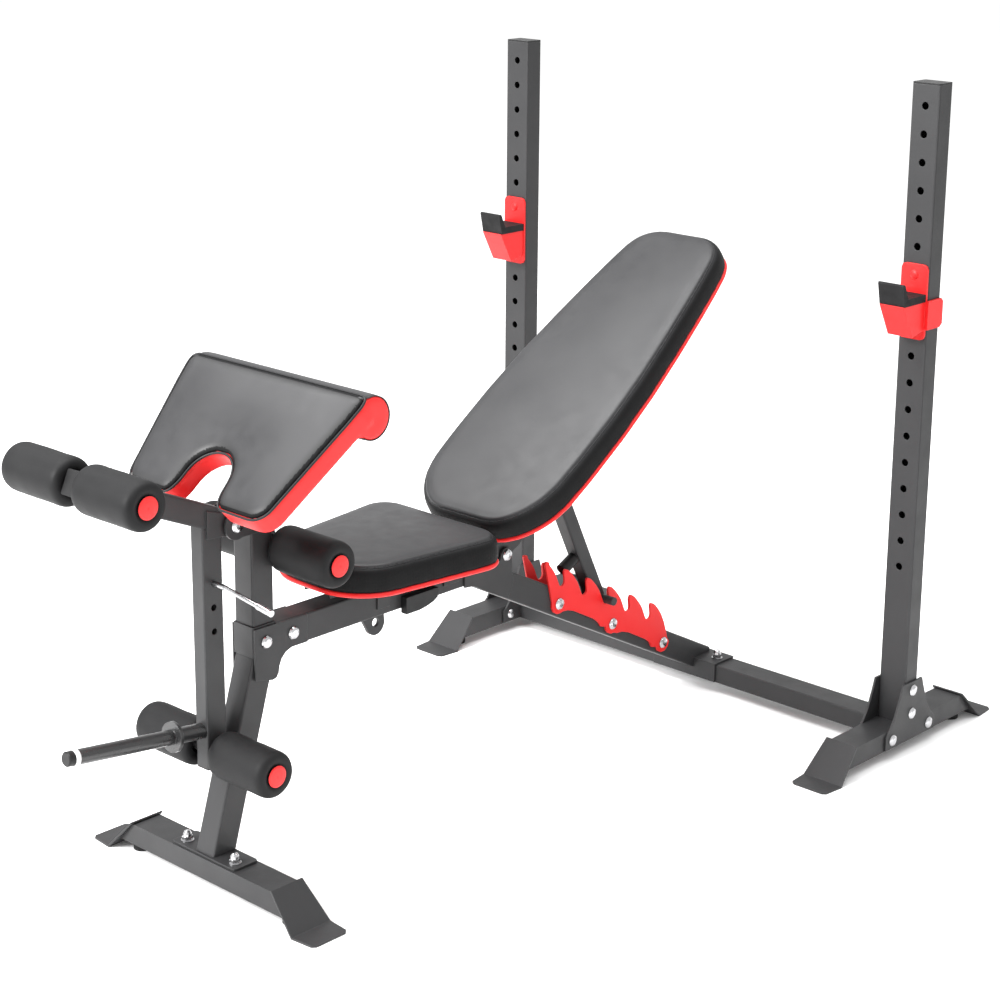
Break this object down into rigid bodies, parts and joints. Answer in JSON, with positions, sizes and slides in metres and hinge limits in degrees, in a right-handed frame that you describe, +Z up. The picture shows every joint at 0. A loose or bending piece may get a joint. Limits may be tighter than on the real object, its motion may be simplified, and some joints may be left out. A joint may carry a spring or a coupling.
{
  "type": "olympic bench press",
  "caption": "Free-standing bench press with a squat-style rack, a tilting backrest and seat, a leg lever with foam rollers and an arm-curl pad.",
  "frame": {"origin": "on the floor, midway between the outermost points in X and in Y", "axes": "+X to the right of someone facing the rack, +Y from the leg lever towards the rack, +Z up"},
  "size_m": [1.052, 1.8332, 1.252],
  "materials": {
    "frame_steel": "satin powder coat",
    "red_steel": "gloss powder coat",
    "zinc": "bright plated",
    "black_rubber": "matte",
    "black_plastic": "matte",
    "black_vinyl": "satin grained vinyl over foam",
    "red_vinyl": "satin vinyl over board",
    "black_foam": "matte closed-cell foam"
  },
  "bodies": {
    "frame": {"crossbar": "frame_steel", "foot_tube_left": "frame_steel", "foot_tube_right": "frame_steel", "front_foot_tube": "frame_steel", "foot_plates": "frame_steel", "floor_pads": "black_rubber", "upright_left": "frame_steel", "upright_right": "frame_steel", "upright_caps": "black_plastic", "gussets": "frame_steel", "rack_bolts": "zinc", "main_beam": "frame_steel", "base_plates": "frame_steel", "base_nuts": "zinc", "bend_plates": "frame_steel", "ladder_plates": "red_steel", "beam_bolts": "zinc", "seat_beam": "frame_steel", "front_plates": "frame_steel", "front_post": "frame_steel", "socket": "frame_steel", "band_eye": "frame_steel", "seat_rest": "frame_steel", "seat_guide": "black_plastic", "hinge_pins": "zinc"},
    "hook_left": {"hook_bracket_left": "red_steel", "hook_liner_left": "black_rubber"},
    "hook_right": {"hook_bracket_right": "red_steel", "hook_liner_right": "black_rubber"},
    "seat": {"seat_frame": "frame_steel", "seat_board": "red_vinyl", "seat_cushion": "black_vinyl"},
    "backrest": {"back_spine": "frame_steel", "back_arms": "frame_steel", "back_bars": "frame_steel", "back_board": "red_vinyl", "back_cushion": "black_vinyl", "strut_pin": "zinc"},
    "strut": {"strut": "frame_steel", "strut_bar": "frame_steel", "strut_grip": "black_plastic"},
    "attachment": {"leg_post": "frame_steel", "lever_bolt": "zinc", "knee_axle": "frame_steel", "knee_discs": "red_steel"},
    "curl_pad": {"curl_stem": "frame_steel", "curl_board": "red_vinyl", "curl_cushion": "black_vinyl"},
    "lever": {"lever_frame": "frame_steel", "lever_axles": "frame_steel", "lever_discs": "red_steel", "weight_horn": "frame_steel", "lever_caps": "black_plastic"},
    "pin": {"lever_pin": "zinc"},
    "roller_top_left": {"roller_top_left": "black_foam"},
    "roller_top_right": {"roller_top_right": "black_foam"},
    "roller_knee_left": {"roller_knee_left": "black_foam"},
    "roller_knee_right": {"roller_knee_right": "black_foam"},
    "roller_foot_left": {"roller_foot_left": "black_foam"},
    "roller_foot_right": {"roller_foot_right": "black_foam"}
  },
  "joints": [
    {"name": "backrest_tilt", "type": "hinge", "parent": "frame", "child": "backrest", "pos_m": [0, 0.042, 0.415], "axis": [1, 0, 0], "range_deg": [0, 18]},
    {"name": "strut_swing", "type": "hinge", "parent": "backrest", "child": "strut", "pos_m": [0, 0.1798, 0.5441], "axis": [1, 0, 0], "range_deg": [-12.6, 0]},
    {"name": "seat_tilt", "type": "hinge", "parent": "frame", "child": "seat", "pos_m": [0, -0.099, 0.445], "axis": [-1, 0, 0], "range_deg": [0, 6]},
    {"name": "attachment_lift", "type": "slide", "parent": "frame", "child": "attachment", "axis": [0, 0, 1], "range_m": [0, 0.04]},
    {"name": "curl_pad_lift", "type": "slide", "parent": "attachment", "child": "curl_pad", "axis": [0, 0, 1], "range_m": [0, 0.06]},
    {"name": "lever_swing", "type": "hinge", "parent": "attachment", "child": "lever", "pos_m": [0, -0.585, 0.616], "axis": [1, 0, 0], "range_deg": [-45, 0]},
    {"name": "pin_pull", "type": "slide", "parent": "lever", "child": "pin", "axis": [1, 0, 0], "range_m": [0, 0.035]},
    {"name": "hook_left_pull", "type": "slide", "parent": "frame", "child": "hook_left", "axis": [0, -1, 0], "range_m": [0, 0.03]},
    {"name": "hook_right_pull", "type": "slide", "parent": "frame", "child": "hook_right", "axis": [0, -1, 0], "range_m": [0, 0.03]},
    {"name": "roller_top_left_spin", "type": "hinge", "parent": "lever", "child": "roller_top_left", "pos_m": [-0.087, -0.863, 0.737], "axis": [1, 0, 0], "continuous": true},
    {"name": "roller_top_right_spin", "type": "hinge", "parent": "lever", "child": "roller_top_right", "pos_m": [0.087, -0.863, 0.737], "axis": [1, 0, 0], "continuous": true},
    {"name": "roller_knee_left_spin", "type": "hinge", "parent": "attachment", "child": "roller_knee_left", "pos_m": [-0.095, -0.491, 0.5575], "axis": [1, 0, 0], "continuous": true},
    {"name": "roller_knee_right_spin", "type": "hinge", "parent": "attachment", "child": "roller_knee_right", "pos_m": [0.095, -0.491, 0.5575], "axis": [1, 0, 0], "continuous": true},
    {"name": "roller_foot_left_spin", "type": "hinge", "parent": "lever", "child": "roller_foot_left", "pos_m": [-0.092, -0.6265, 0.2395], "axis": [1, 0, 0], "continuous": true},
    {"name": "roller_foot_right_spin", "type": "hinge", "parent": "lever", "child": "roller_foot_right", "pos_m": [0.092, -0.6265, 0.2395], "axis": [1, 0, 0], "continuous": true}
  ],
  "couplings": [
    {"joint": "strut_swing", "follows": "backrest_tilt", "ratio": -0.7}
  ]
}
